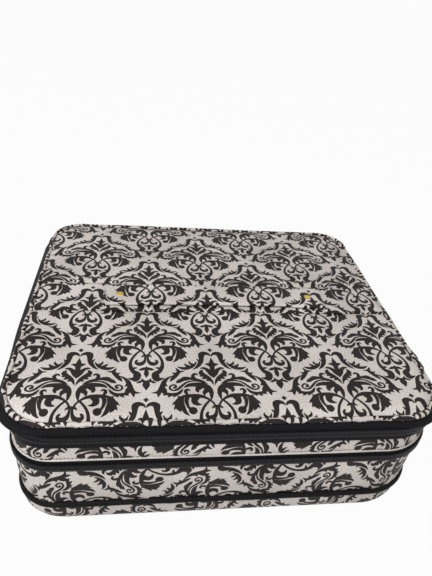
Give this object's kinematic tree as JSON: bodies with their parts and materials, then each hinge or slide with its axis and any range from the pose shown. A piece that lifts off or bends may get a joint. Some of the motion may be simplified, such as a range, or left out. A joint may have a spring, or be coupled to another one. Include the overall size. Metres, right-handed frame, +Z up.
{
  "type": "makeup train case",
  "caption": "Soft-sided makeup case in black damask print on cream, with a zipped lid, a shallow brush tray, a deep divided base, black piping and a riveted carrying strap.",
  "frame": {"origin": "middle of the bottom face, on the surface the case stands on", "axes": "+X to the case's right, -Y to its front, +Z up"},
  "size_m": [0.355, 0.2994, 0.1331],
  "materials": {
    "damask_cloth": "printed satin-coated canvas, black damask on cream",
    "zip_tape": "woven black tape",
    "zip_coil": "black nylon coil",
    "stiffener_board": "stiff plastic board",
    "black_lining": "black woven lining",
    "divider_padding": "brushed black cloth over foam",
    "black_metal": "black enamelled zinc",
    "black_welt": "black cloth-covered cord",
    "rim_foam": "closed-cell foam",
    "elastic": "ribbed elastic",
    "brass": "polished"
  },
  "bodies": {
    "base": {"base_pan": "damask_cloth", "base_welt": "black_welt", "base_wall": "damask_cloth", "base_wall_board": "stiffener_board", "base_board": "stiffener_board", "base_lining": "black_lining", "base_zip_lower_tape": "zip_tape", "base_zip_lower_coil": "zip_coil", "base_hinge_leaf": "damask_cloth", "divider_long": "divider_padding", "divider_front_left": "divider_padding", "divider_front_right": "divider_padding", "divider_rear_left": "divider_padding", "divider_rear_right": "divider_padding"},
    "tray": {"tray_wall": "damask_cloth", "tray_board": "stiffener_board", "tray_lining": "black_lining", "tray_floor": "stiffener_board", "lid_zip_lower_tape": "zip_tape", "lid_zip_lower_coil": "zip_coil", "base_zip_upper_tape": "zip_tape", "base_zip_upper_coil": "zip_coil", "tray_upper_hinge_leaf": "damask_cloth", "tray_lower_hinge_leaf": "damask_cloth", "brush_pocket": "black_lining", "brush_elastic": "elastic"},
    "lid": {"lid_cover": "damask_cloth", "lid_band": "damask_cloth", "lid_piping": "damask_cloth", "lid_board": "stiffener_board", "lid_rim_foam": "rim_foam", "lid_lining": "black_lining", "lid_zip_upper_tape": "zip_tape", "lid_zip_upper_coil": "zip_coil", "lid_hinge_leaf": "damask_cloth", "handle_tail_left": "damask_cloth", "handle_tail_right": "damask_cloth", "handle_rivets": "brass", "rivet_washers": "brass"},
    "handle": {"handle_grip": "damask_cloth"},
    "lid_slider_front": {"lid_slider_front": "black_metal"},
    "lid_slider_rear": {"lid_slider_rear": "black_metal"},
    "base_slider_front": {"base_slider_front": "black_metal"},
    "base_slider_rear": {"base_slider_rear": "black_metal"},
    "lid_pull_front": {"lid_pull_front": "black_metal"},
    "lid_pull_rear": {"lid_pull_rear": "black_metal"},
    "base_pull_front": {"base_pull_front": "black_metal"},
    "base_pull_rear": {"base_pull_rear": "black_metal"}
  },
  "joints": [
    {"name": "tray_hinge", "type": "hinge", "parent": "base", "child": "tray", "pos_m": [0, 0.1475, 0.0827], "axis": [-1, 0, 0], "range_deg": [0, 80]},
    {"name": "lid_hinge", "type": "hinge", "parent": "tray", "child": "lid", "pos_m": [0, 0.1475, 0.1135], "axis": [-1, 0, 0], "range_deg": [0, 100]},
    {"name": "handle_lift", "type": "slide", "parent": "lid", "child": "handle", "axis": [0, 0, 1], "range_m": [0, 0.018], "deforming": ["handle_tail_left", "handle_tail_right"]},
    {"name": "lid_slider_front_run", "type": "slide", "parent": "tray", "child": "lid_slider_front", "axis": [0, -1, 0], "range_m": [0, 0.016]},
    {"name": "lid_pull_front_swing", "type": "hinge", "parent": "lid_slider_front", "child": "lid_pull_front", "pos_m": [0.1785, -0.0778, 0.1135], "axis": [0, -1, 0], "range_deg": [0, 175]},
    {"name": "lid_slider_rear_run", "type": "slide", "parent": "tray", "child": "lid_slider_rear", "axis": [0, 1, 0], "range_m": [0, 0.16]},
    {"name": "lid_pull_rear_swing", "type": "hinge", "parent": "lid_slider_rear", "child": "lid_pull_rear", "pos_m": [0.1785, -0.0662, 0.1135], "axis": [0, -1, 0], "range_deg": [0, 175]},
    {"name": "base_slider_front_run", "type": "slide", "parent": "base", "child": "base_slider_front", "axis": [0, -1, 0], "range_m": [0, 0.066]},
    {"name": "base_pull_front_swing", "type": "hinge", "parent": "base_slider_front", "child": "base_pull_front", "pos_m": [0.1785, -0.0278, 0.0827], "axis": [0, -1, 0], "range_deg": [0, 175]},
    {"name": "base_slider_rear_run", "type": "slide", "parent": "base", "child": "base_slider_rear", "axis": [0, 1, 0], "range_m": [0, 0.11]},
    {"name": "base_pull_rear_swing", "type": "hinge", "parent": "base_slider_rear", "child": "base_pull_rear", "pos_m": [0.1785, -0.0162, 0.0827], "axis": [0, -1, 0], "range_deg": [0, 175]}
  ]
}
